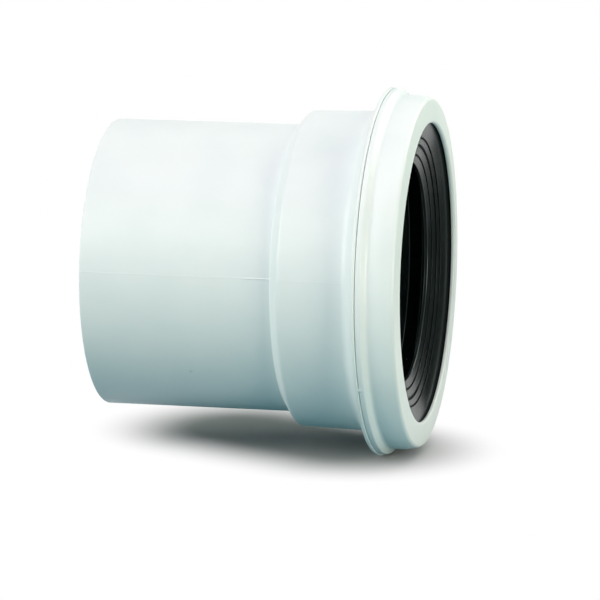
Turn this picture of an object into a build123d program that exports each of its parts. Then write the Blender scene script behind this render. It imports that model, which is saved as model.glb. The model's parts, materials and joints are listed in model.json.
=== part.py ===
"""Straight toilet pan connector: a moulded pipe body, a push-fit retaining cap and a finned rubber seal.

Millimetres. X runs along the waterway, from the centre of the spigot's free end to the mouth, and Z is up.
Each piece is one section, drawn in the XY plane with Y as the radius, and turned once about X.
"""
import os
from math import atan2, radians, tan

from build123d import *

# Pipe body, from the spigot's free end to the rim
spigot_diameter = 110.0
spigot_length = 73.2
wall = 3.2
spigot_chamfer = 0.5
shoulder_length = 3.4
shoulder_rise = 5.4
shoulder_foot_fillet = 1.0
shoulder_round = 2.2
socket_length = 26.0
socket_draft = 0.7
flare_length = 3.95
flare_rise = 4.2
flare_fillet = 4.0
flange_rise = 4.9
flange_thickness = 1.5
flange_chamfer = 0.5

# Snap ring on the body's rim, and the neck behind it that the cap's barb drops into
neck_length = 1.3
snap_height = 1.8
snap_length = 1.0
snap_ramp = 1.6
rim_length = 6.3

# Retaining cap
snap_clearance = 0.2
cap_gap = 0.16
cap_wall = 1.9
cap_chamfer = 0.4
bead_wall = 2.45
bead_length = 1.95
bead_flank = 2.0
bead_round = 1.5
valley_fillet = 3.5
band_taper = 0.9
band_crown = 0.75
band_round = 16.0
face_thickness = 1.75
face_rake = 0.75
face_edge_round = 1.5
lip_width = 9.4
mouth_round = 1.0

# Finned seal: clamped flange, cuff and sleeve along the body's inside
seal_clearance = 0.2
seal_wall = 2.4
seal_flange = 3.0
sleeve_length = 16.0

# Finned seal: front funnel, with its rings listed from the mouth inwards and a groove between each two
funnel_angle = 18.4
outer_ring_angle = 22.2
funnel_set_back = 0.9
funnel_tip = 1.6
ring_widths = (5.9, 2.9, 3.5, 3.0)
groove_widths = (0.8, 1.2, 0.8)
groove_depth = 0.8
groove_lean = 0.15

# Finned seal: gripping fins inside the sleeve, leaning towards the spigot
fin_count = 2
fin_set_back = 1.5
fin_pitch = 9.0
fin_reach = 10.4
fin_lean = 25.0
fin_root = 2.2
fin_tip = 1.4

# Stations along the body
shoulder_x = spigot_length
socket_x = shoulder_x + shoulder_length
flare_x = socket_x + socket_length
flange_x = flare_x + flare_length
neck_x = flange_x + flange_thickness
snap_x = neck_x + neck_length
snap_end_x = snap_x + snap_length
ramp_end_x = snap_end_x + snap_ramp
rim_x = ramp_end_x + rim_length

# Outside radii of the body
spigot_r = spigot_diameter / 2
socket_r = spigot_r + shoulder_rise
flare_r = socket_r + socket_draft
neck_r = flare_r + flare_rise
flange_r = neck_r + flange_rise
snap_r = neck_r + snap_height

# Stations and radii of the cap
cap_x = neck_x + cap_gap
valley_x = cap_x + bead_length + bead_flank
face_inside_x = rim_x + seal_flange
face_x = face_inside_x + face_thickness
face_edge_x = face_x - face_rake
band_middle_x = (valley_x + face_edge_x) / 2
cap_bore_r = neck_r + snap_clearance
snap_groove_r = snap_r + snap_clearance
bead_r = snap_groove_r + bead_wall
valley_r = cap_bore_r + cap_wall
band_front_r = valley_r - band_taper
band_middle_r = (valley_r + band_front_r) / 2 + band_crown
mouth_r = band_front_r - lip_width
cap_bore_x = ramp_end_x + snap_clearance
cap_bore_front_r = cap_bore_r - band_taper

# Slopes of the shoulder, the flare and the seal's funnel, and the radius of its outermost groove
shoulder_angle = atan2(shoulder_rise, shoulder_length)
flare_angle = atan2(flare_rise, flare_length)
funnel_slope = tan(radians(funnel_angle))
outer_ring_slope = tan(radians(outer_ring_angle))
outer_groove_r = mouth_r - ring_widths[0]


def section(corners):
    """Closed face through (x, radius, rounding) corners, with an arc in place of each rounded one."""
    face = Face(Wire.make_polygon([(x, r) for x, r, rounding in corners]))
    for x, r, rounding in corners:
        if rounding:
            corner = face.vertices().sort_by_distance((x, r, 0))[0]
            face = face.fillet_2d(rounding, [corner])
    return face


def turned(corners):
    """Solid of revolution about X of the section through the corners."""
    return revolve(section(corners), Axis.X)


def shift(depth, angle):
    """How far along X a corner of a slope moves when the slope is offset inwards by depth."""
    return depth * tan(angle / 2)


def between(x, start, end):
    """Radius at x on the straight line between two (x, radius) points."""
    return start[1] + (end[1] - start[1]) * (x - start[0]) / (end[0] - start[0])


def cap_bore(x):
    """Radius of the cap's tapered bore."""
    return between(x, (cap_bore_x, cap_bore_r), (face_inside_x, cap_bore_front_r))


def socket_inside(x, depth):
    """Radius in the socket at a depth below its outside."""
    return between(x, (socket_x, socket_r), (flare_x, flare_r)) - depth


def funnel_front(r):
    """X of the funnel's front surface at a radius, leaving its grooves aside."""
    ring_r = max(r, outer_groove_r)
    ring_x = face_inside_x - funnel_set_back - (mouth_r - ring_r) * outer_ring_slope
    return ring_x - (ring_r - r) * funnel_slope


def pipe_body():
    """Spigot, shoulder, socket, flare, flange and snap rim, with an even wall."""
    shoulder_shift = shift(wall, shoulder_angle)
    flare_shift = shift(wall, flare_angle)
    outside = [
        (0, spigot_r - spigot_chamfer, 0),
        (spigot_chamfer, spigot_r, 0),
        (shoulder_x, spigot_r, shoulder_foot_fillet),
        (socket_x, socket_r, shoulder_round),
        (flare_x, flare_r, flare_fillet),
        (flange_x, neck_r, 0),
        (flange_x, flange_r - flange_chamfer, 0),
        (flange_x + flange_chamfer, flange_r, 0),
        (neck_x - flange_chamfer, flange_r, 0),
        (neck_x, flange_r - flange_chamfer, 0),
        (neck_x, neck_r, 0),
        (snap_x, neck_r, 0),
        (snap_x, snap_r, 0),
        (snap_end_x, snap_r, 0),
        (ramp_end_x, neck_r, 0),
        (rim_x, cap_bore(rim_x) - snap_clearance, 0),
    ]
    inside = [
        (rim_x, neck_r - wall, 0),
        (flange_x + flare_shift, neck_r - wall, 0),
        (flare_x + flare_shift, flare_r - wall, 0),
        (socket_x + shoulder_shift, socket_r - wall, 0),
        (shoulder_x + shoulder_shift, spigot_r - wall, 0),
        (0, spigot_r - wall, 0),
    ]
    return turned(outside + inside)


def retaining_cap():
    """Ring with a bead over its snap groove, a crowned band, a raked face and a rounded mouth."""
    outside = [
        (cap_x, cap_bore_r, 0),
        (cap_x, bead_r - cap_chamfer, 0),
        (cap_x + cap_chamfer, bead_r, 0),
        (cap_x + bead_length, bead_r, bead_round),
        (valley_x, valley_r, valley_fillet),
        (band_middle_x, band_middle_r, band_round),
        (face_edge_x, band_front_r, face_edge_round),
        (face_x, mouth_r, mouth_round),
    ]
    inside = [
        (face_inside_x, mouth_r, 0),
        (face_inside_x, cap_bore_front_r, 0),
        (cap_bore_x, cap_bore_r, 0),
        (snap_end_x + snap_clearance, snap_groove_r, 0),
        (snap_x - snap_clearance, snap_groove_r, 0),
        (snap_x - snap_clearance, cap_bore_r, 0),
    ]
    return turned(outside + inside)


def fin_corners(sleeve_depth):
    """Corners of the gripping fins along the sleeve's inside, from the rearmost fin forwards."""
    corners = []
    for index in reversed(range(fin_count)):
        front_x = flare_x - fin_set_back - index * fin_pitch
        rear_x = front_x - fin_root
        tip_x = front_x - fin_reach * tan(radians(fin_lean))
        tip_r = socket_inside(front_x, sleeve_depth) - fin_reach
        corners += [
            (rear_x, socket_inside(rear_x, sleeve_depth), 0),
            (tip_x - fin_tip, tip_r, 0),
            (tip_x, tip_r, 0),
            (front_x, socket_inside(front_x, sleeve_depth), 0),
        ]
    return corners


def funnel_corners():
    """Corners of the funnel's front, from its tip out to the flange, with a groove between each two rings."""
    tip_r = mouth_r - sum(ring_widths)
    corners = [(funnel_front(tip_r), tip_r, 0)]
    groove_r = tip_r
    for ring, groove in zip(reversed(ring_widths[1:]), reversed(groove_widths)):
        groove_r += ring
        inner_r = groove_r - groove / 2
        outer_r = groove_r + groove / 2
        corners += [
            (funnel_front(inner_r), inner_r, 0),
            (funnel_front(outer_r) - groove_depth, outer_r - groove_lean, 0),
            (funnel_front(outer_r), outer_r, 0),
        ]
    corners.append((face_inside_x, mouth_r + funnel_set_back / outer_ring_slope, 0))
    return corners


def finned_seal():
    """Flange, cuff and sleeve that line the rim and the socket, with gripping fins and a ringed funnel."""
    outer_depth = wall + seal_clearance
    inner_depth = outer_depth + seal_wall
    outer_shift = shift(outer_depth, flare_angle)
    inner_shift = shift(inner_depth, flare_angle)
    sleeve_x = flare_x - sleeve_length
    seal_r = cap_bore_front_r - seal_clearance
    cuff_r = neck_r - inner_depth
    tip_r = mouth_r - sum(ring_widths)
    outside = [
        (face_inside_x, seal_r, 0),
        (rim_x, seal_r, 0),
        (rim_x, neck_r - outer_depth, 0),
        (flange_x + outer_shift, neck_r - outer_depth, 0),
        (flare_x + outer_shift, flare_r - outer_depth, 0),
        (sleeve_x, socket_inside(sleeve_x, outer_depth), 0),
    ]
    inside = [
        (sleeve_x, socket_inside(sleeve_x, inner_depth), 0),
        *fin_corners(inner_depth),
        (flare_x + inner_shift, flare_r - inner_depth, 0),
        (flange_x + inner_shift, cuff_r, 0),
        (rim_x, cuff_r, 0),
        (funnel_front(tip_r) - funnel_tip, tip_r, 0),
        *funnel_corners(),
    ]
    return turned(outside + inside)


os.makedirs("parts", exist_ok=True)
export_step(pipe_body(), "parts/pipe_body.step")
export_step(retaining_cap(), "parts/retaining_cap.step")
export_step(finned_seal(), "parts/finned_seal.step")
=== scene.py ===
"""Looks of a straight toilet pan connector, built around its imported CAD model.

Each piece is an outline turned about X, the axis of the waterway, with the small roundings, the parting
line and the flash that the mouldings have. Angles round that axis start at the near side, which faces -Y,
and rise to the top.
"""

import json
from math import atan2, ceil, cos, exp, pi, radians, sin, tan
from types import SimpleNamespace

import bmesh
import bpy
from bpy.props import FloatProperty, FloatVectorProperty, IntProperty, PointerProperty
from mathutils import Matrix, Vector, noise


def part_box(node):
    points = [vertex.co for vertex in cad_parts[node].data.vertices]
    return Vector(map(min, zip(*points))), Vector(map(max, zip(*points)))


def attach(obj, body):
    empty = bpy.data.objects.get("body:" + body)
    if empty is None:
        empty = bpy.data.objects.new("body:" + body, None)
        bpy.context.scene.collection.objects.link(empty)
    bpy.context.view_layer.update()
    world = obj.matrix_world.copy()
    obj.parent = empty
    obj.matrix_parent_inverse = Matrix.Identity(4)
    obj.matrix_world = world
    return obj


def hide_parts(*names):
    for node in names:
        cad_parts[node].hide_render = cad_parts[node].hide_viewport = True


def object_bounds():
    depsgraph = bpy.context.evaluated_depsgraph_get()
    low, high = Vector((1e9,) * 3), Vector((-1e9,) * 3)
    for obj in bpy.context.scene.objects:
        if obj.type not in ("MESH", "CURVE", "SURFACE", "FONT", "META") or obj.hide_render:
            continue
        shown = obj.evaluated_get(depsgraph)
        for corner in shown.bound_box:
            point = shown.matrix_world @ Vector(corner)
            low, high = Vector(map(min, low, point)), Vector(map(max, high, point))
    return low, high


bl_info = {
    "name": "Toilet Pan Connector",
    "version": (1, 0, 0),
    "blender": (4, 5, 0),
    "location": "3D View > Sidebar > Pan Connector",
    "description": "Builds a straight pan connector with its moulded finish, on a plain studio stage",
    "category": "Object",
}

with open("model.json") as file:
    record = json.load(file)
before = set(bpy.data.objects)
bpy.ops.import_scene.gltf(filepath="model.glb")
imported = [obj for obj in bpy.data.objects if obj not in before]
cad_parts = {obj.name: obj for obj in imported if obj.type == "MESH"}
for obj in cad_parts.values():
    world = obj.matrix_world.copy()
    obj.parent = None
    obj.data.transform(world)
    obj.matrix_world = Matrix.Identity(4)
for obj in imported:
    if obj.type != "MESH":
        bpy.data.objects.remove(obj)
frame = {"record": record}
cad_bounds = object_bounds()

MM = 0.001
BODY = "root"

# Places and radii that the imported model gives
body_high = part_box("pipe_body")[1]
cap_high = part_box("retaining_cap")[1]
seal_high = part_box("finned_seal")[1]
mount_radius = {mount["name"]: mount["dims"]["r_mm"] * MM for mount in frame["record"]["mounts"]}


def length(label, description, millimetres):
    """Property for a length, with its default in millimetres."""
    return FloatProperty(
        name=label, description=description, default=millimetres * MM, precision=5, unit="LENGTH"
    )


def angle(label, description, degrees):
    """Property for an angle, with its default in degrees."""
    return FloatProperty(name=label, description=description, default=radians(degrees), subtype="ANGLE")


def colour(label, description, red, green, blue):
    """Property for a linear colour."""
    return FloatVectorProperty(
        name=label, description=description, default=(red, green, blue), min=0, max=1, subtype="COLOR"
    )


def power(label, description, watts):
    """Property for a lamp's power."""
    return FloatProperty(name=label, description=description, default=watts, min=0, unit="POWER")


class PipeBodySizes(bpy.types.PropertyGroup):
    """Sizes of the white pipe body, from the spigot's free end to the rim under the cap."""

    spigot_radius: length("Spigot radius", "Outside radius of the spigot", mount_radius["soil_spigot"] / MM)
    spigot_length: length("Spigot length", "From the free end to the shoulder", 73.2)
    wall: length("Wall", "Thickness of the wall", 3.2)
    shoulder_length: length("Shoulder length", "Along the axis", 3.4)
    shoulder_rise: length("Shoulder rise", "Step from the spigot to the socket", 5.4)
    shoulder_foot: length("Shoulder foot", "Fillet where the spigot meets the shoulder", 0.5)
    shoulder_round: length("Shoulder rounding", "Rounding where the shoulder meets the socket", 2.2)
    socket_length: length("Socket length", "From the shoulder to the flare", 26.0)
    socket_draft: length("Socket draft", "Growth of the socket's radius along its length", 0.7)
    flare_rise: length("Flare rise", "Step from the socket to the neck", 4.2)
    flare_length: length("Flare length", "Along the axis", 3.95)
    flare_fillet: length("Flare fillet", "Fillet where the socket meets the flare", 4.0)
    flange_thickness: length("Flange thickness", "Thickness of the flange behind the cap", 1.5)
    flange_round: length("Flange rounding", "Rounding of the flange's rear edge", 0.65)
    neck_length: length("Neck length", "From the flange to the snap ring", 1.3)
    snap_height: length("Snap ring height", "Step from the neck to the snap ring", 1.8)
    snap_length: length("Snap ring length", "Along the axis", 1.0)
    snap_ramp: length("Snap ramp", "Length of the slope in front of the snap ring", 1.6)
    bore_fillet: length("Bore fillet", "Fillet of the bends inside", 1.0)
    edge_round: length("Edge rounding", "Rounding of the free edges", 0.4)
    parting_angle: angle("Parting angle", "Angle of the parting line above the near side", 5.5)
    parting_height: length("Parting height", "How far the parting line stands proud", 0.03)
    parting_width: length("Parting width", "Width of the parting line", 0.5)
    insert_place: length("Insert line", "Place of the ring where the mould's shoulder insert begins", 63.6)
    insert_parting_height: length("Insert parting height", "Height of the parting line on the insert", 0.14)


class RetainingCapSizes(bpy.types.PropertyGroup):
    """Sizes of the white retaining cap."""

    bead_length: length("Bead length", "Straight land of the bead with its rounding", 1.95)
    bead_flank: length("Bead flank", "Length of the slope from the bead to the valley", 2.0)
    bead_round: length("Bead rounding", "Rounding of the bead's crest", 0.8)
    valley_fillet: length("Valley fillet", "Fillet of the valley in front of the bead", 2.0)
    wall: length("Wall", "Thickness of the wall in the valley", 1.9)
    band_taper: length("Band taper", "Fall of the band's radius towards the face", 0.9)
    band_crown: length("Band crown", "Swell of the band at its middle", 0.75)
    band_round: length("Band rounding", "Radius of the band's swell", 16.0)
    face_thickness: length("Face thickness", "Thickness of the face at the mouth", 1.75)
    face_rake: length("Face rake", "How far the face's outer edge lies behind the mouth", 0.75)
    face_edge_round: length("Face edge", "Rounding between the band and the face", 1.5)
    lip_width: length("Lip width", "Width of the face", 9.4)
    mouth_round: length("Mouth rounding", "Rounding of the mouth's front edge", 1.0)
    edge_round: length("Edge rounding", "Rounding of the other edges", 0.3)
    gap: length("Gap", "Gap between the flange and the cap", 0.16)
    snap_clearance: length("Snap clearance", "Room round the snap ring", 0.2)
    nick_angle: angle("Nick angle", "Place of the nick of flash on the rear edge", -29.1)
    nick_length: length("Nick length", "Half length of the nick of flash", 0.7)
    nick_height: length("Nick height", "How far the nick of flash stands proud", 0.8)


class FinnedSealSizes(bpy.types.PropertyGroup):
    """Sizes of the black rubber seal."""

    clearance: length("Clearance", "Room between the seal and the body", 0.2)
    wall: length("Wall", "Thickness of the sleeve", 2.4)
    sleeve_length: length("Sleeve length", "Length of the sleeve behind the flare", 16.0)
    edge_round: length("Edge rounding", "Rounding of the free edges", 0.4)
    bend_fillet: length("Bend fillet", "Fillet of the sleeve's bends", 1.0)
    funnel_angle: angle("Funnel angle", "Slope of the funnel against the face", 18.4)
    outer_ring_angle: angle("Outer ring angle", "Slope of the outermost ring against the face", 22.2)
    funnel_set_back: length("Funnel set-back", "Depth of the funnel's edge behind the lip", 0.9)
    funnel_tip: length("Funnel tip", "Thickness of the funnel at its inner edge", 1.6)
    funnel_tip_round: length("Funnel tip rounding", "Rounding of the funnel's inner edge", 0.5)
    groove_depth: length("Groove depth", "Depth of the grooves between the rings", 0.8)
    groove_undercut: length("Groove undercut", "Undercut of each groove's outer side", 0.3)
    groove_round: length("Groove rounding", "Rounding of the rings' edges", 0.1)
    fin_count: IntProperty(
        name="Fins", description="Number of gripping fins in the sleeve", default=2, min=1
    )
    fin_set_back: length("Fin set-back", "From the flare to the front fin", 1.5)
    fin_pitch: length("Fin pitch", "From one fin to the next", 9.0)
    fin_reach: length("Fin reach", "Depth of the fins below the sleeve", 10.4)
    fin_lean: angle("Fin lean", "Lean of the fins towards the spigot", 25.0)
    fin_root: length("Fin root", "Thickness of the fins at the sleeve", 2.2)
    fin_tip: length("Fin tip", "Thickness of the fins at their tips", 1.4)


class Finishes(bpy.types.PropertyGroup):
    """Colours of the two materials, and places of the marks on the body."""

    pvc: colour("White PVC", "Colour of the mouldings", 0.81, 0.885, 0.871)
    pvc_shade: colour("White PVC shade", "Colour of the moulding's faint clouds", 0.775, 0.858, 0.849)
    scuff: colour("Scuff", "Colour of the scuffs under the shoulder", 0.86, 0.92, 0.92)
    speck: colour("Speck", "Colour of the speck of dirt on the spigot", 0.34, 0.30, 0.24)
    rubber: colour("Black rubber", "Colour of the seal", 0.010, 0.014, 0.014)
    rubber_bloom: colour("Rubber bloom", "Colour of the seal's faint grey bloom", 0.013, 0.018, 0.0183)
    rubber_sheen: colour("Rubber sheen", "Tint of the seal's sheen", 0.80, 1.0, 0.97)
    dust: colour("Dust", "Colour of the tiny specks on the seal", 0.12, 0.13, 0.13)
    scuff_angle: angle("Scuff angle", "Place of the scuffs round the shoulder", -80.0)
    scuff_near: length("Scuff near", "Distance from their middle at which the scuffs begin to fade", 1.5)
    scuff_far: length("Scuff far", "Distance from their middle at which the scuffs end", 6.5)
    speck_place: length("Speck place", "From the spigot's free end to the speck of dirt", 40.25)
    speck_angle: angle("Speck angle", "Place of the speck of dirt round the spigot", -37.0)
    speck_near: length("Speck near", "Distance from its middle at which the speck begins to fade", 0.2)
    speck_far: length("Speck far", "Distance from its middle at which the speck ends", 1.1)
    speck_ragged: length("Speck raggedness", "How far the edge of the speck wanders", 1.2)


class StageSetup(bpy.types.PropertyGroup):
    """Camera, lamps, floor and surroundings."""

    azimuth: angle("Azimuth", "Turn of the camera towards the mouth", 12.30)
    elevation: angle("Elevation", "Height of the camera above the axis", 10.70)
    distance: length("Distance", "From the camera to its target", 1600.0)
    target: FloatVectorProperty(
        name="Target",
        description="Point in the middle of the picture",
        default=(0.07007, 0.01239, -0.01497),
        subtype="TRANSLATION",
    )
    lens: FloatProperty(name="Lens", description="Focal length", default=248.0, unit="CAMERA")
    top_power: power("Top power", "Overhead softbox", 9.6)
    left_power: power("Left power", "Softbox to the left", 22.2)
    right_power: power("Right power", "Small softbox to the right of the mouth", 1.88)
    mouth_power: power("Mouth power", "Small softbox beyond the mouth", 2.95)
    back_power: power("Back power", "Softbox behind the object", 2.5)
    top_tint: colour("Top tint", "Tint of the overhead softbox", 0.95, 0.82, 1.0)
    left_tint: colour("Left tint", "Tint of the softbox to the left", 1.0, 0.985, 0.92)
    right_tint: colour("Right tint", "Tint of the small softbox to the right", 1.0, 0.925, 0.78)
    mouth_tint: colour("Mouth tint", "Tint of the small softbox beyond the mouth", 0.87, 0.98, 0.84)
    back_tint: colour("Back tint", "Tint of the softbox behind the object", 1.0, 1.0, 1.0)
    # Grey of the floor round the object is a painted shadow: darker than the plain white beyond it, and
    # shaded further by the lamps
    painted_shadow_colour: colour("Floor", "Colour of the floor round the object", 0.45, 0.45, 0.45)
    # Place, slant and fade of the painted shadow's grey on the floor, out to plain white
    shadow_centre: FloatVectorProperty(
        name="Shadow centre",
        description="Middle of the shadow's core on the floor",
        default=(0.068, 0.0137),
        size=2,
        unit="LENGTH",
    )
    shadow_turn: angle("Shadow turn", "Slant of the shadow's core", -27.2)
    shadow_half: length("Shadow half", "Half length of the shadow's core", 28.5)
    shadow_near: length("Shadow near", "Distance from the core at which the floor begins to pale", 16.3)
    shadow_far: length("Shadow far", "Distance from the core at which the floor is plain white", 60.3)
    bounce_colour: colour("Bounce", "Colour of the light that the floor throws back", 0.045, 0.22, 0.28)
    ambient_colour: colour("Ambient", "Colour of the light from all round", 0.03, 0.03, 0.03)
    felt_colour: colour("Felt", "Colour of the black flag beyond the mouth", 0.005, 0.005, 0.005)


GROUPS = {
    "pan_pipe_body": PipeBodySizes,
    "pan_retaining_cap": RetainingCapSizes,
    "pan_finned_seal": FinnedSealSizes,
    "pan_finishes": Finishes,
    "pan_stage": StageSetup,
}

# Rings of the funnel from the mouth inwards, and the grooves between them
RING_WIDTHS = (5.9 * MM, 2.9 * MM, 3.5 * MM, 3.0 * MM)
GROOVE_WIDTHS = (0.8 * MM, 1.2 * MM, 0.8 * MM)

# Fineness of the meshes
COLUMN_COUNT = 240
ARC_STEP = radians(11)
ROW_STEP = 3.0 * MM
SEAM_ROW_STEP = 1.3 * MM
MARK_STEP = 0.1 * MM
MARK_REACH = 1.2 * MM
SHARP_ANGLE = radians(40)

# Parting line: how far and how often it wanders, its two dips, and the width of the ring line
WANDER = 0.35 * MM
WANDER_RATE = 140
DIP_PLACES = (38.5 * MM, 48.0 * MM)
DIP_DEPTH = 0.5 * MM
DIP_LENGTH = 2.4 * MM
RING_LINE_WIDTH = 1.0 * MM

# Patterns of the finishes, in waves or cells for each metre
CLOUD_SCALE = 38
RIPPLE_SCALE = 120
SCRATCH_SCALE = 900
SPECK_SCALE = 1400
PVC_GRAIN_SCALE = 2600
BLOOM_SCALE = 90
DUST_SCALE = 130
RUBBER_GRAIN_SCALE = 1800

# Levels of a pattern between which a mark comes in or fades out, and the middle level of noise
CLOUD_LEVELS = (0.35, 0.7)
SCRATCH_LEVELS = (0.52, 0.62)
BLOOM_LEVELS = (0.4, 0.75)
DUST_LEVELS = (0.03, 0.07)
NOISE_MIDDLE = 0.5

# Share of a mark's colour that covers the material, and the share of cells without dust
SCUFF_COVER = 0.6
SPECK_COVER = 0.22
DUST_COVER = 0.7
CLEAN_SHARE = 0.9

# Gloss: roughness of the bare material, what each pattern adds to it, refraction and specular level
PVC_ROUGHNESS = 0.33
PVC_GRAIN_ROUGHNESS = 0.06
CLOUD_ROUGHNESS = 0.05
SCUFF_ROUGHNESS = 0.2
PVC_IOR = 1.53
RUBBER_ROUGHNESS = 0.18
RUBBER_GRAIN_ROUGHNESS = 0.06
BLOOM_ROUGHNESS = 0.05
RUBBER_IOR = 1.5
RUBBER_SPECULAR = 0.36

# Relief of the materials: strength and depth, and the share of each pattern in it
BUMP_STRENGTH = 0.2
BUMP_DEPTH = 0.05 * MM
PVC_GRAIN_RELIEF = 0.25
SCUFF_RELIEF = 0.8
RUBBER_GRAIN_RELIEF = 0.6

# Plain white of the far floor and the surroundings
WHITE = (1.0, 1.0, 1.0)

# Half width of the floor in metres, and the black flag that stands on it beyond the mouth
FLOOR_HALF = 8.0
FLAG_NEAR = (0.425, 0.050)
FLAG_FAR = (0.245, 0.300)
FLAG_TOP = 0.16

# Softboxes: azimuth and elevation in degrees, distance and size in metres
SOFTBOXES = {
    "top": {"azimuth": 12, "elevation": 75, "distance": 1.6, "size": 1.3},
    "left": {"azimuth": -45, "elevation": 25, "distance": 1.6, "size": 1.3},
    "right": {"azimuth": 58, "elevation": 3, "distance": 0.5, "size": 0.28},
    "mouth": {"azimuth": 135, "elevation": 35, "distance": 0.6, "size": 0.45},
    "back": {"azimuth": 180, "elevation": 60, "distance": 1.6, "size": 1.3},
}


def stations(scene):
    """Places along X and radii that the pieces share, worked out from the sizes."""
    body = scene.pan_pipe_body
    cap = scene.pan_retaining_cap
    at = SimpleNamespace()
    at.shoulder_x = body.spigot_length
    at.socket_x = at.shoulder_x + body.shoulder_length
    at.flare_x = at.socket_x + body.socket_length
    at.flange_x = at.flare_x + body.flare_length
    at.neck_x = at.flange_x + body.flange_thickness
    at.snap_x = at.neck_x + body.neck_length
    at.snap_end_x = at.snap_x + body.snap_length
    at.ramp_end_x = at.snap_end_x + body.snap_ramp
    at.rim_x = body_high.x
    at.cap_x = at.neck_x + cap.gap
    at.valley_x = at.cap_x + cap.bead_length + cap.bead_flank
    at.face_inside_x = seal_high.x
    at.face_x = at.face_inside_x + cap.face_thickness
    at.face_edge_x = at.face_x - cap.face_rake
    at.socket_r = body.spigot_radius + body.shoulder_rise
    at.flare_r = at.socket_r + body.socket_draft
    at.neck_r = at.flare_r + body.flare_rise
    at.flange_r = body_high.z
    at.snap_r = at.neck_r + body.snap_height
    at.cap_bore_r = at.neck_r + cap.snap_clearance
    at.cap_bore_front_r = at.cap_bore_r - cap.band_taper
    at.cap_bore_x = at.ramp_end_x + cap.snap_clearance
    at.bead_r = cap_high.z
    at.valley_r = at.cap_bore_r + cap.wall
    at.band_front_r = at.valley_r - cap.band_taper
    at.mouth_r = at.band_front_r - cap.lip_width
    at.seal_r = seal_high.z
    at.shoulder_angle = atan2(body.shoulder_rise, body.shoulder_length)
    at.flare_angle = atan2(body.flare_rise, body.flare_length)
    return at


def between(x, start, end):
    """Radius at x on the straight line between two (x, radius) points."""
    return start[1] + (end[1] - start[1]) * (x - start[0]) / (end[0] - start[0])


def shift(depth, slope_angle):
    """How far along X a corner of a slope moves when the slope is offset inwards by depth."""
    return depth * tan(slope_angle / 2)


def socket_outside(at, x):
    """Outside radius of the tapered socket."""
    return between(x, (at.socket_x, at.socket_r), (at.flare_x, at.flare_r))


def cap_bore(at, x):
    """Radius of the cap's tapered bore."""
    return between(x, (at.cap_bore_x, at.cap_bore_r), (at.face_inside_x, at.cap_bore_front_r))


def arc(before, corner, after, rounding):
    """Points of the arc that rounds a corner between two neighbours."""
    to_before = (before - corner).normalized()
    to_after = (after - corner).normalized()
    half = to_before.angle(to_after) / 2
    centre = corner + (to_before + to_after).normalized() * (rounding / sin(half))
    start = corner + to_before * (rounding / tan(half)) - centre
    end = corner + to_after * (rounding / tan(half)) - centre
    sweep = start.angle_signed(end)
    count = max(2, ceil(abs(sweep) / ARC_STEP))
    return [centre + Matrix.Rotation(-sweep * step / count, 2) @ start for step in range(count + 1)]


def outline(corners, row_step=ROW_STEP):
    """Closed outline through (x, radius, rounding) corners, with arcs at corners and long runs divided."""
    places = [Vector((x, radius)) for x, radius, rounding in corners]
    points = []
    for index, (x, radius, rounding) in enumerate(corners):
        corner = places[index]
        if rounding:
            points += arc(places[index - 1], corner, places[(index + 1) % len(places)], rounding)
        else:
            points.append(corner)
    divided = []
    for index, point in enumerate(points):
        following = points[(index + 1) % len(points)]
        count = max(1, ceil((following - point).length / row_step))
        divided += [point.lerp(following, step / count) for step in range(count)]
    return divided


def columns(marks, radius):
    """Angles of a mesh's columns: evenly spread, and close together at each mark round the axis."""
    steps = round(MARK_REACH / MARK_STEP)
    fine = [mark + step * MARK_STEP / radius for mark in marks for step in range(-steps, steps + 1)]
    spacing = 2 * pi / COLUMN_COUNT
    even = [index * spacing for index in range(COLUMN_COUNT)]
    room = MARK_STEP / radius
    clear = [value for value in even if all(abs(turn_from(near, value)) > room for near in fine)]
    return sorted(value % (2 * pi) for value in clear + fine)


def turn_from(first, second):
    """Shorter turn from one angle to another."""
    return (second - first + pi) % (2 * pi) - pi


def on_axis(x, radius, turn):
    """Point at a place along the axis, a radius and an angle round it."""
    return (x, -radius * cos(turn), radius * sin(turn))


def turned(name, points, angles, moulded=None):
    """Object made by turning a closed outline about X, with moulded(x, radius, turn) to add fine relief."""
    vertices = []
    for point in points:
        for turn in angles:
            x, radius = moulded(point.x, point.y, turn) if moulded else point
            vertices.append(on_axis(x, radius, turn))
    width = len(angles)
    faces = []
    for row in range(len(points)):
        below = (row + 1) % len(points) * width
        for column in range(width):
            beside = (column + 1) % width
            faces.append((row * width + column, row * width + beside, below + beside, below + column))
    mesh = bpy.data.meshes.new(name)
    mesh.from_pydata(vertices, [], faces)
    shape = bmesh.new()
    shape.from_mesh(mesh)
    bmesh.ops.recalc_face_normals(shape, faces=shape.faces)
    shape.to_mesh(mesh)
    shape.free()
    mesh.shade_smooth()
    mesh.set_sharp_from_angle(angle=SHARP_ANGLE)
    piece = bpy.data.objects.new(name, mesh)
    bpy.context.scene.collection.objects.link(piece)
    shading = piece.modifiers.new("even_shading", "WEIGHTED_NORMAL")
    shading.keep_sharp = True
    return piece


def dress(piece, node, material):
    """Puts a piece in place of its CAD node, with its finish."""
    piece.data.materials.append(material)
    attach(piece, BODY)
    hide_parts(node)


def ridge(offset, width):
    """Height from 0 to 1 of a soft ridge at an offset from its middle."""
    return exp(-((2 * offset / width) ** 2))


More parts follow.
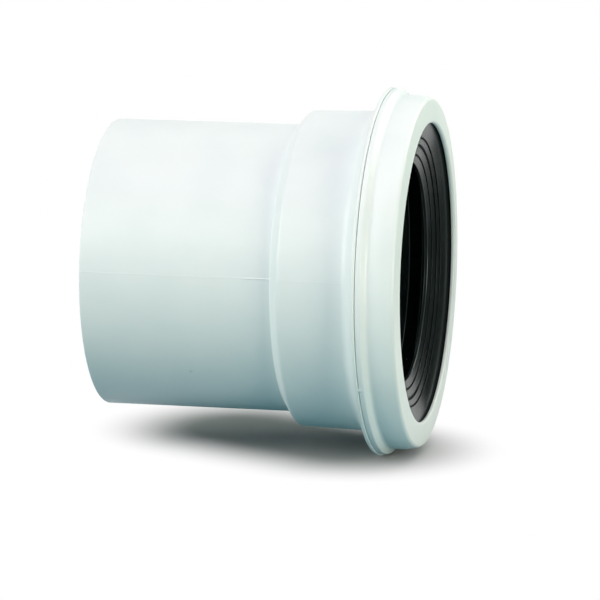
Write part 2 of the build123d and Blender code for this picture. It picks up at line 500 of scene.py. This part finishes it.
def body_corners(body, at):
    """Corners of the pipe body's section, outside and then inside."""
    shoulder_shift = shift(body.wall, at.shoulder_angle)
    flare_shift = shift(body.wall, at.flare_angle)
    edge = body.edge_round
    bend = body.bore_fillet
    rim_r = cap_bore(at, at.rim_x) - (at.cap_bore_r - at.neck_r)
    inner_neck_r = at.neck_r - body.wall
    return [
        (0, body.spigot_radius, edge),
        (at.shoulder_x, body.spigot_radius, body.shoulder_foot),
        (at.socket_x, at.socket_r, body.shoulder_round),
        (at.flare_x, at.flare_r, body.flare_fillet),
        (at.flange_x, at.neck_r, edge),
        (at.flange_x, at.flange_r, body.flange_round),
        (at.neck_x, at.flange_r, edge),
        (at.neck_x, at.neck_r, edge),
        (at.snap_x, at.neck_r, edge / 2),
        (at.snap_x, at.snap_r, edge / 2),
        (at.snap_end_x, at.snap_r, edge / 2),
        (at.ramp_end_x, at.neck_r, edge / 2),
        (at.rim_x, rim_r, edge),
        (at.rim_x, inner_neck_r, edge),
        (at.flange_x + flare_shift, inner_neck_r, bend),
        (at.flare_x + flare_shift, at.flare_r - body.wall, bend),
        (at.socket_x + shoulder_shift, at.socket_r - body.wall, bend),
        (at.shoulder_x + shoulder_shift, body.spigot_radius - body.wall, bend),
        (0, body.spigot_radius - body.wall, edge),
    ]


def parting_angles(body):
    """Angles of the parting line on the near side and the far side."""
    return (body.parting_angle, body.parting_angle + pi)


def parting_line(body, at):
    """Relief of the pipe body: a wavy parting line on both sides, higher on the mould's shoulder insert."""
    skin = body.wall / 2
    insert_length = at.shoulder_x - body.insert_place

    def moulded(x, radius, turn):
        on_spigot = x < at.shoulder_x and radius > body.spigot_radius - skin
        on_socket = at.socket_x < x < at.flare_x and radius > socket_outside(at, x) - skin
        if not (on_spigot or on_socket):
            return x, radius
        side = min((turn_from(mark, turn) for mark in parting_angles(body)), key=abs)
        on_insert = on_spigot and x > body.insert_place
        freedom = 1 - ridge(x - at.shoulder_x, 2 * insert_length)
        wave = WANDER * freedom * noise.noise(Vector((x * WANDER_RATE, 0, 0)))
        wave -= DIP_DEPTH * sum(ridge(x - dip, DIP_LENGTH) for dip in DIP_PLACES)
        height = body.insert_parting_height if on_insert else body.parting_height
        proud = height * ridge(radius * side - wave, body.parting_width)
        if on_spigot:
            proud += body.parting_height * ridge(x - body.insert_place, RING_LINE_WIDTH)
        return x, radius + proud

    return moulded


def cap_corners(cap, at):
    """Corners of the retaining cap's section, outside and then inside."""
    middle_x = (at.valley_x + at.face_edge_x) / 2
    middle_r = (at.valley_r + at.band_front_r) / 2 + cap.band_crown
    groove_r = at.snap_r + cap.snap_clearance
    edge = cap.edge_round
    return [
        (at.cap_x, at.cap_bore_r, edge),
        (at.cap_x, at.bead_r, edge),
        (at.cap_x + cap.bead_length, at.bead_r, cap.bead_round),
        (at.valley_x, at.valley_r, cap.valley_fillet),
        (middle_x, middle_r, cap.band_round),
        (at.face_edge_x, at.band_front_r, cap.face_edge_round),
        (at.face_x, at.mouth_r, cap.mouth_round),
        (at.face_inside_x, at.mouth_r, edge),
        (at.face_inside_x, at.cap_bore_front_r, edge),
        (at.cap_bore_x, at.cap_bore_r, 0),
        (at.snap_end_x + cap.snap_clearance, groove_r, edge),
        (at.snap_x - cap.snap_clearance, groove_r, edge),
        (at.snap_x - cap.snap_clearance, at.cap_bore_r, edge),
    ]


def flash_nick(cap, at):
    """Relief of the retaining cap: a nick of flash on the rear edge, across the gap."""
    width = 2 * cap.nick_length

    def moulded(x, radius, turn):
        if x > at.cap_x + cap.bead_length:
            return x, radius
        around = ridge(radius * turn_from(cap.nick_angle, turn), width)
        along = ridge(x - at.cap_x, width)
        deep = ridge(radius - at.bead_r, 2 * width)
        proud = cap.nick_height * around * along * deep
        return x - proud, radius + proud / 2

    return moulded


def funnel_front(seal, at, radius):
    """X of the funnel's front at a radius, leaving its grooves aside."""
    ring_r = max(radius, at.mouth_r - RING_WIDTHS[0])
    ring_x = at.face_inside_x - seal.funnel_set_back - (at.mouth_r - ring_r) * tan(seal.outer_ring_angle)
    return ring_x - (ring_r - radius) * tan(seal.funnel_angle)


def funnel_corners(seal, at, tip_r):
    """Corners of the funnel's front, from its tip out to the flange, with grooves between the rings."""
    corners = [(funnel_front(seal, at, tip_r), tip_r, seal.funnel_tip_round)]
    groove_r = tip_r
    for ring, groove in zip(reversed(RING_WIDTHS[1:]), reversed(GROOVE_WIDTHS)):
        groove_r += ring
        inner_r = groove_r - groove / 2
        outer_r = groove_r + groove / 2
        floor_x = funnel_front(seal, at, outer_r) - seal.groove_depth
        corners += [
            (funnel_front(seal, at, inner_r), inner_r, seal.groove_round),
            (floor_x, outer_r + seal.groove_undercut, seal.groove_round / 2),
            (funnel_front(seal, at, outer_r), outer_r, seal.groove_round),
        ]
    edge_r = at.mouth_r + seal.funnel_set_back / tan(seal.outer_ring_angle)
    corners.append((at.face_inside_x, edge_r, seal.edge_round))
    return corners


def fin_corners(seal, at, depth):
    """Corners of the gripping fins along the sleeve's inside, from the rearmost fin forwards."""
    corners = []
    for index in reversed(range(seal.fin_count)):
        front_x = at.flare_x - seal.fin_set_back - index * seal.fin_pitch
        rear_x = front_x - seal.fin_root
        tip_x = front_x - seal.fin_reach * tan(seal.fin_lean)
        tip_r = socket_outside(at, front_x) - depth - seal.fin_reach
        corners += [
            (rear_x, socket_outside(at, rear_x) - depth, seal.edge_round),
            (tip_x - seal.fin_tip, tip_r, seal.edge_round),
            (tip_x, tip_r, seal.edge_round),
            (front_x, socket_outside(at, front_x) - depth, seal.edge_round),
        ]
    return corners


def seal_corners(seal, at, body_wall):
    """Corners of the finned seal's section, outside and then inside."""
    outer = body_wall + seal.clearance
    inner = outer + seal.wall
    outer_shift = shift(outer, at.flare_angle)
    inner_shift = shift(inner, at.flare_angle)
    sleeve_x = at.flare_x - seal.sleeve_length
    sleeve_r = socket_outside(at, sleeve_x)
    cuff_r = at.neck_r - inner
    tip_r = at.mouth_r - sum(RING_WIDTHS)
    edge = seal.edge_round
    return [
        (at.face_inside_x, at.seal_r, edge),
        (at.rim_x, at.seal_r, edge),
        (at.rim_x, at.neck_r - outer, 0),
        (at.flange_x + outer_shift, at.neck_r - outer, 0),
        (at.flare_x + outer_shift, at.flare_r - outer, 0),
        (sleeve_x, sleeve_r - outer, edge),
        (sleeve_x, sleeve_r - inner, edge),
        *fin_corners(seal, at, inner),
        (at.flare_x + inner_shift, at.flare_r - inner, seal.bend_fillet),
        (at.flange_x + inner_shift, cuff_r, seal.bend_fillet),
        (at.rim_x, cuff_r, edge),
        (funnel_front(seal, at, tip_r) - seal.funnel_tip, tip_r, seal.funnel_tip_round),
        *funnel_corners(seal, at, tip_r),
    ]


class Term:
    """Socket of a node tree that takes part in Python sums."""

    def __init__(self, graph, socket):
        self.graph = graph
        self.socket = socket

    def math(self, operation, first, second):
        """Math node on two values."""
        inputs = {"Value": first, "Value_001": second}
        return self.graph.node("ShaderNodeMath", {"operation": operation}, inputs)

    def __add__(self, other):
        return self.math("ADD", self, other)

    __radd__ = __add__

    def __sub__(self, other):
        return self.math("SUBTRACT", self, other)

    def __rsub__(self, other):
        return self.math("SUBTRACT", other, self)

    def __mul__(self, other):
        return self.math("MULTIPLY", self, other)

    __rmul__ = __mul__

    def __gt__(self, other):
        return self.math("GREATER_THAN", self, other)


class Graph:
    """Adds nodes to a cleared node tree."""

    def __init__(self, tree):
        self.tree = tree
        tree.nodes.clear()

    def node(self, kind, settings=None, inputs=None, outlet=None):
        """Adds a node, makes its settings, fills its sockets and gives the outlet named, or the first."""
        made = self.tree.nodes.new(kind)
        for key, value in (settings or {}).items():
            setattr(made, key, value)
        sockets = {socket.identifier: socket for socket in made.inputs}
        for key, value in (inputs or {}).items():
            if isinstance(value, Term):
                self.tree.links.new(value.socket, sockets[key])
            else:
                sockets[key].default_value = value
        for socket in made.outputs:
            if outlet in (None, socket.identifier):
                return Term(self, socket)

    def noise(self, place, scale, detail, roughness=0.5):
        """Cloudy pattern from 0 to 1, with its scale in waves for each metre."""
        return self.node(
            "ShaderNodeTexNoise",
            inputs={"Vector": place, "Scale": scale, "Detail": detail, "Roughness": roughness},
        )

    def fade(self, value, start, end):
        """Smooth step from 0 where value is at start to 1 where it is at end."""
        return self.node(
            "ShaderNodeMapRange",
            {"interpolation_type": "SMOOTHSTEP"},
            {"Value": value, "From Min": start, "From Max": end},
        )

    def vector(self, operation, first, second=(0, 0, 0), outlet="Vector"):
        """Vector worked out from two vectors, or a number through the Value outlet."""
        inputs = {"Vector": first, "Vector_001": second}
        return self.node("ShaderNodeVectorMath", {"operation": operation}, inputs, outlet)

    def away(self, place, point):
        """Distance from a point."""
        return self.vector("DISTANCE", place, point, "Value")

    def blend(self, factor, first, second):
        """Mix of two colours."""
        return self.node(
            "ShaderNodeMix",
            {"data_type": "RGBA"},
            {"Factor_Float": factor, "A_Color": first, "B_Color": second},
            "Result_Color",
        )

    def mix(self, factor, first, second):
        """Mix of two shaders."""
        inputs = {"Fac": factor, "Shader": first, "Shader_001": second}
        return self.node("ShaderNodeMixShader", inputs=inputs)

    def relief(self, height):
        """Normal that follows the slopes of a pattern of heights."""
        return self.node(
            "ShaderNodeBump", inputs={"Strength": BUMP_STRENGTH, "Distance": BUMP_DEPTH, "Height": height}
        )

    def seen(self):
        """1 for rays from the camera, a gloss or a clear body, and 0 for rays that only carry light."""
        kinds = ("Is Camera Ray", "Is Glossy Ray", "Is Transmission Ray")
        camera, glossy, transmission = (self.node("ShaderNodeLightPath", outlet=kind) for kind in kinds)
        return camera + glossy + transmission


def opaque(rgb):
    """Colour with full opacity."""
    return (*rgb, 1.0)


def new_material(name):
    """Empty material and the graph of its nodes."""
    material = bpy.data.materials.new(name)
    material.use_nodes = True
    return material, Graph(material.node_tree)


def white_pvc():
    """Satin white PVC-U: faint clouds, a fine grain, scuffs under the shoulder and a speck of dirt."""
    name = "satin_white_pvc"
    if name in bpy.data.materials:
        return bpy.data.materials[name]
    scene = bpy.context.scene
    finishes = scene.pan_finishes
    body = scene.pan_pipe_body
    at = stations(scene)
    material, graph = new_material(name)
    place = graph.node("ShaderNodeTexCoord", outlet="Object")

    clouds = graph.fade(graph.noise(place, CLOUD_SCALE, detail=4), *CLOUD_LEVELS)
    tone = graph.blend(clouds, opaque(finishes.pvc), opaque(finishes.pvc_shade))

    scuff_point = on_axis((at.shoulder_x + at.socket_x) / 2, at.socket_r, finishes.scuff_angle)
    scuff_area = 1 - graph.fade(graph.away(place, scuff_point), finishes.scuff_near, finishes.scuff_far)
    scratches = graph.fade(graph.noise(place, SCRATCH_SCALE, detail=3, roughness=0.7), *SCRATCH_LEVELS)
    scuffs = scuff_area * scratches
    tone = graph.blend(scuffs * SCUFF_COVER, tone, opaque(finishes.scuff))

    speck_point = on_axis(finishes.speck_place, body.spigot_radius, finishes.speck_angle)
    wander = (graph.noise(place, SPECK_SCALE, detail=2) - NOISE_MIDDLE) * finishes.speck_ragged
    speck_edge = graph.away(place, speck_point) + wander
    speck = 1 - graph.fade(speck_edge, finishes.speck_near, finishes.speck_far)
    tone = graph.blend(speck * SPECK_COVER, tone, opaque(finishes.speck))

    grain = graph.noise(place, PVC_GRAIN_SCALE, detail=2)
    ripple = graph.noise(place, RIPPLE_SCALE, detail=2)
    roughness = PVC_ROUGHNESS + PVC_GRAIN_ROUGHNESS * grain + CLOUD_ROUGHNESS * clouds
    roughness += SCUFF_ROUGHNESS * scuffs
    bumps = graph.relief(grain * PVC_GRAIN_RELIEF + ripple + scuffs * SCUFF_RELIEF)
    shader = graph.node(
        "ShaderNodeBsdfPrincipled",
        inputs={"Base Color": tone, "Roughness": roughness, "Normal": bumps, "IOR": PVC_IOR},
    )
    graph.node("ShaderNodeOutputMaterial", inputs={"Surface": shader})
    return material


def black_rubber():
    """Dull black rubber: a faint grey bloom, a fine grain and a few tiny specks of dust."""
    finishes = bpy.context.scene.pan_finishes
    material, graph = new_material("dull_black_rubber")
    place = graph.node("ShaderNodeTexCoord", outlet="Object")

    bloom = graph.fade(graph.noise(place, BLOOM_SCALE, detail=5, roughness=0.6), *BLOOM_LEVELS)
    tone = graph.blend(bloom, opaque(finishes.rubber), opaque(finishes.rubber_bloom))

    cells = {"Vector": place, "Scale": DUST_SCALE}
    distance = graph.node("ShaderNodeTexVoronoi", inputs=cells, outlet="Distance")
    chance = graph.node("ShaderNodeTexVoronoi", inputs=cells, outlet="Color")
    picked = graph.node("ShaderNodeSeparateColor", inputs={"Color": chance}) > CLEAN_SHARE
    dust = (1 - graph.fade(distance, *DUST_LEVELS)) * picked
    tone = graph.blend(dust * DUST_COVER, tone, opaque(finishes.dust))

    grain = graph.noise(place, RUBBER_GRAIN_SCALE, detail=3)
    roughness = RUBBER_ROUGHNESS + RUBBER_GRAIN_ROUGHNESS * grain + BLOOM_ROUGHNESS * bloom
    bumps = graph.relief(grain * RUBBER_GRAIN_RELIEF + dust)
    shader = graph.node(
        "ShaderNodeBsdfPrincipled",
        inputs={
            "Base Color": tone,
            "Roughness": roughness,
            "Normal": bumps,
            "IOR": RUBBER_IOR,
            "Specular IOR Level": RUBBER_SPECULAR,
            "Specular Tint": opaque(finishes.rubber_sheen),
        },
    )
    graph.node("ShaderNodeOutputMaterial", inputs={"Surface": shader})
    return material


def floor_finish(stage):
    """Floor with a painted shadow: grey round the object, where it also keeps the object's real shadow,
    running out to plain white.
    """
    material, graph = new_material("pale_floor")
    place = graph.node("ShaderNodeTexCoord", outlet="Object")
    beyond = graph.vector("SUBTRACT", graph.vector("ABSOLUTE", place), (stage.shadow_half, 0, 0))
    distance = graph.vector("LENGTH", graph.vector("MAXIMUM", beyond), outlet="Value")
    # Mask of the painted shadow: its grey near the core fades out to plain white
    far = graph.fade(distance, stage.shadow_near, stage.shadow_far)
    painted_shadow_floor = graph.node("ShaderNodeBsdfDiffuse", inputs={"Color": opaque(stage.painted_shadow_colour)})
    plain = graph.node("ShaderNodeEmission", inputs={"Color": opaque(WHITE), "Strength": 1.0})
    bounce = graph.node("ShaderNodeBsdfDiffuse", inputs={"Color": opaque(stage.bounce_colour)})
    surface = graph.mix(graph.seen(), bounce, graph.mix(far, painted_shadow_floor, plain))
    graph.node("ShaderNodeOutputMaterial", inputs={"Surface": surface})
    return material


def surroundings(stage):
    """World that is white where it is seen and a soft grey where it only gives light."""
    world = bpy.data.worlds.new("studio")
    world.use_nodes = True
    graph = Graph(world.node_tree)
    white, soft = (
        graph.node("ShaderNodeBackground", inputs={"Color": opaque(rgb), "Strength": 1.0})
        for rgb in (WHITE, stage.ambient_colour)
    )
    graph.node("ShaderNodeOutputWorld", inputs={"Surface": graph.mix(graph.seen(), soft, white)})
    return world


def black_felt(stage):
    """Felt that throws next to no light back."""
    material, graph = new_material("black_felt")
    felt = graph.node("ShaderNodeBsdfDiffuse", inputs={"Color": opaque(stage.felt_colour)})
    graph.node("ShaderNodeOutputMaterial", inputs={"Surface": felt})
    return material


def sheet(name, corners, material):
    """Flat object with four corners."""
    mesh = bpy.data.meshes.new(name)
    mesh.from_pydata(corners, [], [(0, 1, 2, 3)])
    mesh.materials.append(material)
    flat = bpy.data.objects.new(name, mesh)
    bpy.context.scene.collection.objects.link(flat)
    return flat


def aim(thing, target):
    """Turns a camera or lamp towards a point."""
    thing.rotation_euler = (Vector(target) - thing.location).to_track_quat("-Z", "Y").to_euler()


def bearing(azimuth, elevation):
    """Direction from the object at an azimuth, from the near side towards the mouth, and an elevation."""
    reach = cos(elevation)
    return Vector((sin(azimuth) * reach, -cos(azimuth) * reach, sin(elevation)))


def softbox(name, target, watts, tint, azimuth, elevation, distance, size):
    """Square studio lamp that the camera doesn't see, at an azimuth and elevation in degrees."""
    lamp = bpy.data.lights.new(name, "AREA")
    lamp.shape = "SQUARE"
    lamp.size = size
    lamp.energy = watts
    lamp.color = tint
    light = bpy.data.objects.new(name, lamp)
    light.location = target + bearing(radians(azimuth), radians(elevation)) * distance
    light.visible_camera = False
    bpy.context.scene.collection.objects.link(light)
    aim(light, target)


class PANCONNECTOR_OT_pipe_body(bpy.types.Operator):
    """Turn the white pipe body, with its parting line"""

    bl_idname = "pan_connector.pipe_body"
    bl_label = "Pipe Body"

    def execute(self, context):
        body = context.scene.pan_pipe_body
        at = stations(context.scene)
        angles = columns(parting_angles(body), body.spigot_radius)
        points = outline(body_corners(body, at), SEAM_ROW_STEP)
        piece = turned("pipe_body_moulding", points, angles, parting_line(body, at))
        dress(piece, "pipe_body", white_pvc())
        return {"FINISHED"}


class PANCONNECTOR_OT_retaining_cap(bpy.types.Operator):
    """Turn the white retaining cap, with its nick of flash"""

    bl_idname = "pan_connector.retaining_cap"
    bl_label = "Retaining Cap"

    def execute(self, context):
        cap = context.scene.pan_retaining_cap
        at = stations(context.scene)
        angles = columns((cap.nick_angle,), at.cap_bore_r)
        points = outline(cap_corners(cap, at))
        piece = turned("retaining_cap_moulding", points, angles, flash_nick(cap, at))
        dress(piece, "retaining_cap", white_pvc())
        return {"FINISHED"}


class PANCONNECTOR_OT_finned_seal(bpy.types.Operator):
    """Turn the black rubber seal, with its ringed funnel and its fins"""

    bl_idname = "pan_connector.finned_seal"
    bl_label = "Finned Seal"

    def execute(self, context):
        seal = context.scene.pan_finned_seal
        at = stations(context.scene)
        points = outline(seal_corners(seal, at, context.scene.pan_pipe_body.wall))
        piece = turned("finned_seal_moulding", points, columns((), at.mouth_r))
        dress(piece, "finned_seal", black_rubber())
        return {"FINISHED"}


class PANCONNECTOR_OT_stage(bpy.types.Operator):
    """Set up the camera, the lamps, the floor and the surroundings"""

    bl_idname = "pan_connector.stage"
    bl_label = "Stage"

    def execute(self, context):
        scene = context.scene
        stage = scene.pan_stage
        scene.view_settings.view_transform = "Standard"
        scene.world = surroundings(stage)
        self.add_camera(scene, stage)
        self.add_floor(stage)
        self.add_flag(stage)
        self.add_lamps(stage)
        return {"FINISHED"}

    def add_camera(self, scene, stage):
        """Adds the camera at the photograph's angle."""
        camera = bpy.data.objects.new("camera", bpy.data.cameras.new("camera"))
        camera.data.lens = stage.lens
        target = Vector(stage.target)
        camera.location = target + bearing(stage.azimuth, stage.elevation) * stage.distance
        aim(camera, target)
        scene.collection.objects.link(camera)
        scene.camera = camera

    def add_floor(self, stage):
        """Adds the floor under the lowest point, with its own X along the painted shadow's core."""
        half = FLOOR_HALF
        corners = [(-half, -half, 0), (half, -half, 0), (half, half, 0), (-half, half, 0)]
        floor = sheet("floor", corners, floor_finish(stage))
        floor.location = (*stage.shadow_centre, cad_bounds[0].z)
        floor.rotation_euler.z = stage.shadow_turn

    def add_flag(self, stage):
        """Adds the upright black flag."""
        bottom = cad_bounds[0].z
        corners = [(*FLAG_NEAR, bottom), (*FLAG_FAR, bottom), (*FLAG_FAR, FLAG_TOP), (*FLAG_NEAR, FLAG_TOP)]
        flag = sheet("black_flag", corners, black_felt(stage))
        flag.visible_camera = False

    def add_lamps(self, stage):
        """Adds three large softboxes round the object and two small ones round its mouth."""
        low, high = cad_bounds
        centre = (low + high) / 2
        mouth = Vector((high.x, 0, 0))
        targets = {"top": centre, "left": centre, "right": mouth, "mouth": mouth, "back": centre}
        for side, place in SOFTBOXES.items():
            watts = getattr(stage, f"{side}_power")
            tint = getattr(stage, f"{side}_tint")
            softbox(f"{side}_softbox", targets[side], watts, tint, **place)


OPERATORS = (
    PANCONNECTOR_OT_pipe_body,
    PANCONNECTOR_OT_retaining_cap,
    PANCONNECTOR_OT_finned_seal,
    PANCONNECTOR_OT_stage,
)


class PANCONNECTOR_PT_sidebar(bpy.types.Panel):
    """Lists the pieces and the stage of the pan connector"""

    bl_idname = "PANCONNECTOR_PT_sidebar"
    bl_label = "Pan Connector"
    bl_space_type = "VIEW_3D"
    bl_region_type = "UI"
    bl_category = "Pan Connector"

    def draw(self, context):
        for operator in OPERATORS:
            self.layout.operator(operator.bl_idname)
        for name, group in GROUPS.items():
            settings = getattr(context.scene, name)
            box = self.layout.box()
            for field in group.__annotations__:
                box.prop(settings, field)


CLASSES = (*GROUPS.values(), *OPERATORS, PANCONNECTOR_PT_sidebar)


def register():
    for cls in CLASSES:
        bpy.utils.register_class(cls)
    for name, group in GROUPS.items():
        setattr(bpy.types.Scene, name, PointerProperty(type=group))


def unregister():
    for name in GROUPS:
        delattr(bpy.types.Scene, name)
    for cls in reversed(CLASSES):
        bpy.utils.unregister_class(cls)


def main():
    register()
    bpy.ops.pan_connector.pipe_body()
    bpy.ops.pan_connector.retaining_cap()
    bpy.ops.pan_connector.finned_seal()
    bpy.ops.pan_connector.stage()


if __name__ == "__main__":
    main()
